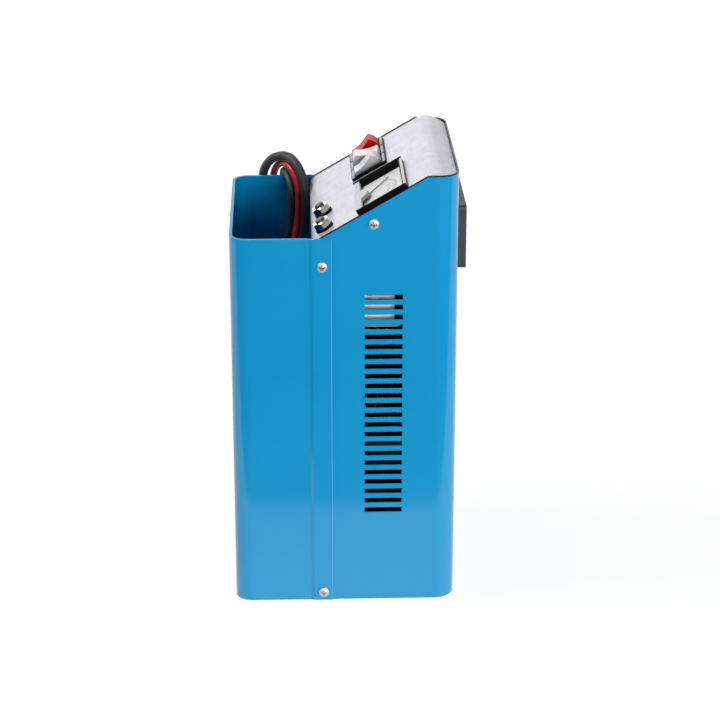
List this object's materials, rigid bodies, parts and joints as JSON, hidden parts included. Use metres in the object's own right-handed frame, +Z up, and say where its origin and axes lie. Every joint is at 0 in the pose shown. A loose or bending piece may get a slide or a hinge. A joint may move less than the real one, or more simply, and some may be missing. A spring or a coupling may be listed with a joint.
{
  "type": "battery charger with jump starter",
  "caption": "Tall painted sheet-steel battery charger with an open lead pocket, a sloping control panel with rocker switches, meter and posts, a rear grip, mains lead and battery clamps.",
  "frame": {"origin": "on the surface that the unit stands on, under the middle of the unit's own box", "axes": "+Z up; the lead pocket faces -Y and the carrying grip is on +Y; the meter is on the +X side"},
  "size_m": [0.4573, 0.188, 0.3665],
  "materials": {
    "blue_enamel": "glossy cyan-blue stove enamel on sheet steel",
    "zinc_sheet": "bright zinc-plated sheet",
    "bare_panel": "satin brushed sheet",
    "foot_rubber": "matt black rubber",
    "zinc_screws": "bright zinc plating",
    "grip_plastic": "fine-grained dark grey moulding",
    "black_plastic": "semi-matt black moulding",
    "clear_window": "clear moulded window",
    "dial_face": "matt white dial with a plain scale",
    "mask_plastic": "light grey moulding",
    "needle_paint": "thin red pointer",
    "red_plastic": "glossy red moulding",
    "grey_plastic": "glossy pale grey moulding",
    "white_plastic": "glossy white moulding",
    "dark_steel": "dark threaded steel",
    "nickel": "bright nickel plating",
    "core_steel": "varnished laminations",
    "winding_tape": "varnished insulating tape",
    "plate_aluminium": "extruded mill finish",
    "diode_metal": "plated press-fit cases",
    "breaker_plastic": "white moulding",
    "gland_rubber": "soft black moulding",
    "black_cable": "matt black sheath",
    "red_cable": "matt red sheath",
    "plug_plastic": "matt black moulding",
    "red_clamp_plastic": "red insulating moulding",
    "black_clamp_plastic": "black insulating moulding",
    "clamp_steel": "bright spring steel"
  },
  "bodies": {
    "root": {"front_shell": "blue_enamel", "rear_housing": "blue_enamel", "base_plate": "zinc_sheet", "bulkhead": "blue_enamel", "control_panel": "bare_panel", "foot_front_left": "foot_rubber", "foot_front_right": "foot_rubber", "foot_rear_left": "foot_rubber", "foot_rear_right": "foot_rubber", "side_screws": "zinc_screws", "rear_grip": "grip_plastic", "grip_screws": "zinc_screws", "meter_case": "black_plastic", "meter_cover": "clear_window", "meter_dial": "dial_face", "meter_mask": "mask_plastic", "switch_frame_grey": "black_plastic", "switch_frame_white": "black_plastic", "switch_frame_red": "black_plastic", "post_bush_left": "black_plastic", "post_stud_left": "dark_steel", "post_washer_left": "nickel", "post_nut_left": "nickel", "post_bush_right": "black_plastic", "post_stud_right": "dark_steel", "post_washer_right": "nickel", "post_nut_right": "nickel", "transformer_core": "core_steel", "transformer_winding": "winding_tape", "core_brackets": "zinc_sheet", "core_bolts": "zinc_screws", "core_foot_bolts": "zinc_screws", "rectifier_plate": "plate_aluminium", "bulkhead_screws": "zinc_screws", "diodes": "diode_metal", "breaker_bracket": "zinc_sheet", "thermal_breaker": "breaker_plastic", "mains_gland": "gland_rubber", "red_gland": "gland_rubber", "black_gland": "gland_rubber", "mains_lead": "black_cable", "mains_coil": "black_cable", "plug_body": "plug_plastic", "plug_pins": "nickel", "red_lead": "red_cable", "red_coil": "red_cable", "red_clamp_fixed": "red_clamp_plastic", "red_clamp_pin": "clamp_steel", "red_clamp_spring": "clamp_steel", "black_lead": "black_cable", "black_coil": "black_cable", "black_clamp_fixed": "black_clamp_plastic", "black_clamp_pin": "clamp_steel", "black_clamp_spring": "clamp_steel"},
    "red_switch_rocker": {"rocker_red": "red_plastic"},
    "white_switch_rocker": {"rocker_white": "white_plastic"},
    "grey_switch_rocker": {"rocker_grey": "grey_plastic"},
    "meter_pointer": {"meter_needle": "needle_paint"},
    "red_clamp_jaw": {"red_clamp_moving": "red_clamp_plastic"},
    "black_clamp_jaw": {"black_clamp_moving": "black_clamp_plastic"}
  },
  "joints": [
    {"name": "red_rocker_tilt", "type": "hinge", "parent": "root", "child": "red_switch_rocker", "pos_m": [-0.07005, 0.01929, 0.34098], "axis": [1, 0, 0], "range_deg": [-36, 0]},
    {"name": "white_rocker_tilt", "type": "hinge", "parent": "root", "child": "white_switch_rocker", "pos_m": [-0.04505, 0.01929, 0.34098], "axis": [1, 0, 0], "range_deg": [0, 36]},
    {"name": "grey_rocker_tilt", "type": "hinge", "parent": "root", "child": "grey_switch_rocker", "pos_m": [-0.02005, 0.01929, 0.34098], "axis": [1, 0, 0], "range_deg": [-36, 0]},
    {"name": "needle_turn", "type": "hinge", "parent": "root", "child": "meter_pointer", "pos_m": [0.0495, 0.01246, 0.33582], "axis": [0, -0.506, 0.8625], "range_deg": [-84, 0], "stiffness_Nm_per_rad": 0.00002},
    {"name": "red_clamp_hinge", "type": "hinge", "parent": "root", "child": "red_clamp_jaw", "pos_m": [-0.315, -0.004, 0.009], "axis": [0, 0, 1], "range_deg": [0, 22], "stiffness_Nm_per_rad": 1.5, "springref_deg": -17.19},
    {"name": "black_clamp_hinge", "type": "hinge", "parent": "root", "child": "black_clamp_jaw", "pos_m": [-0.315, 0.052, 0.009], "axis": [0, 0, 1], "range_deg": [0, 22], "stiffness_Nm_per_rad": 1.5, "springref_deg": -17.19}
  ]
}
